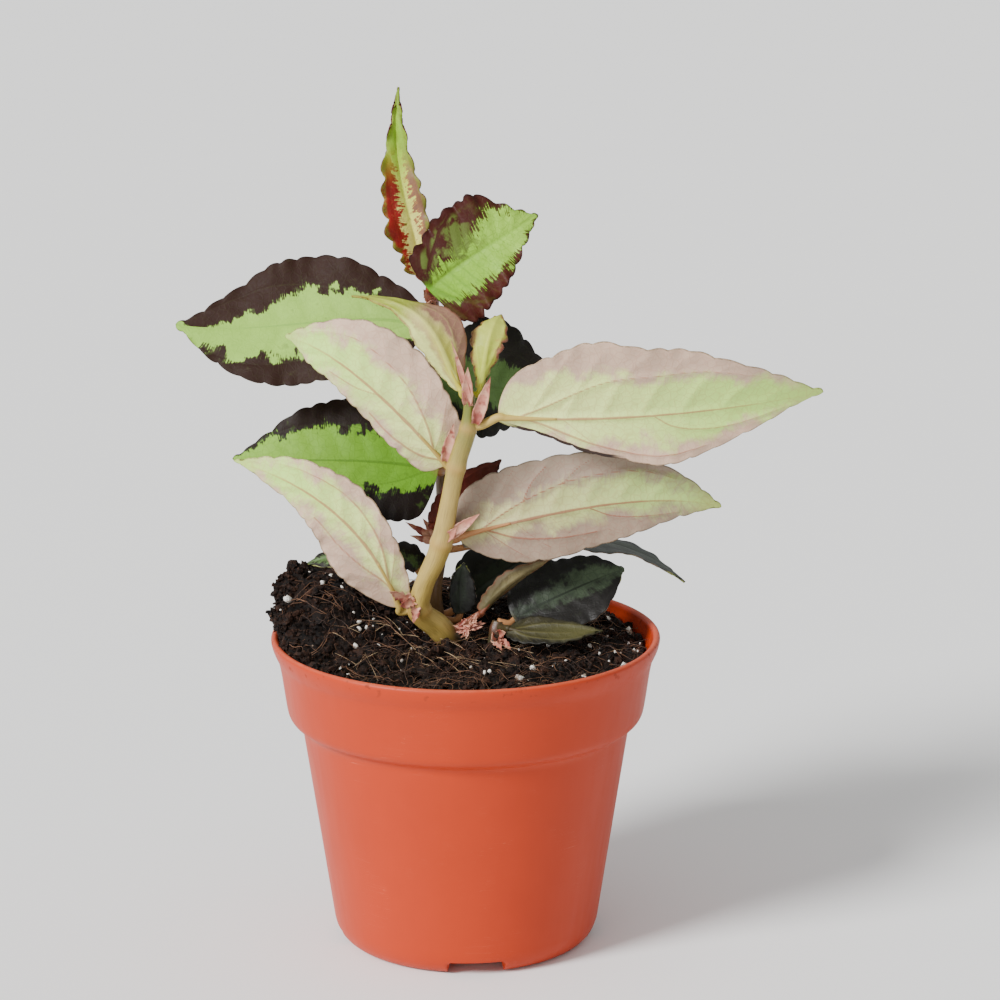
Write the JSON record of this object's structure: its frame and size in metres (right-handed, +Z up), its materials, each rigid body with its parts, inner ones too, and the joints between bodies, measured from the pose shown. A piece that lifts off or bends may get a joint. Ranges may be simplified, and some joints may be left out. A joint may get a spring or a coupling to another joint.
{
  "type": "potted trailing begonia",
  "caption": "Small trailing foliage plant with crenate, two-coloured leaves in a round, tapered terracotta-coloured plastic nursery pot filled with potting mix.",
  "frame": {"origin": "on the pot's vertical axis, in the plane that the pot stands on", "axes": "+Z up along the pot's axis, -Y towards the pictured front, +X to the right as seen from the front"},
  "size_m": [0.0988, 0.06, 0.1326],
  "materials": {
    "pot_plastic": "satin terracotta-coloured plastic, a few faint scratches",
    "potting_mix": "damp brown-black peat mix with white perlite and tan fibres",
    "stem": "fleshy yellow-green to tan stem, satin, pink torn bracts at the joints",
    "leaf_underside_pale": "satin leaf, pale lilac-pink underside with a green centre and pink-brown veins",
    "leaf_green_centred": "satin leaf, brown-purple upper side with a jagged light green centre",
    "leaf_red_edged": "satin leaf, red-brown margins and a yellow-green centre",
    "leaf_young": "satin young leaf, yellow-green with pink edges",
    "leaf_dark": "satin old leaf, very dark green with a muted green centre",
    "leaf_maroon": "satin leaf with a maroon underside",
    "leaf_olive": "satin leaf, beige-olive with lengthwise veins",
    "leaf_grey": "satin leaf, grey-green, seen edge-on"
  },
  "bodies": {
    "root": {"pot": "pot_plastic", "soil": "potting_mix", "stem_front": "stem", "stem_back": "stem", "stem_low": "stem", "leaf_front_right_upper": "leaf_underside_pale", "leaf_front_right_lower": "leaf_underside_pale", "leaf_front_left_upper": "leaf_underside_pale", "leaf_front_left_lower": "leaf_underside_pale", "leaf_back_left_upper": "leaf_green_centred", "leaf_back_left_middle": "leaf_green_centred", "leaf_top_right": "leaf_red_edged", "leaf_top_upright": "leaf_red_edged", "leaf_young_left": "leaf_young", "leaf_young_right": "leaf_young", "leaf_back_right": "leaf_dark", "leaf_back_maroon": "leaf_maroon", "leaf_low_strip": "leaf_olive", "leaf_low_dark": "leaf_dark", "leaf_low_olive": "leaf_olive", "leaf_low_trailing": "leaf_grey", "leaf_low_small": "leaf_dark", "leaf_low_back": "leaf_dark", "leaf_low_left": "leaf_dark"}
  },
  "joints": []
}
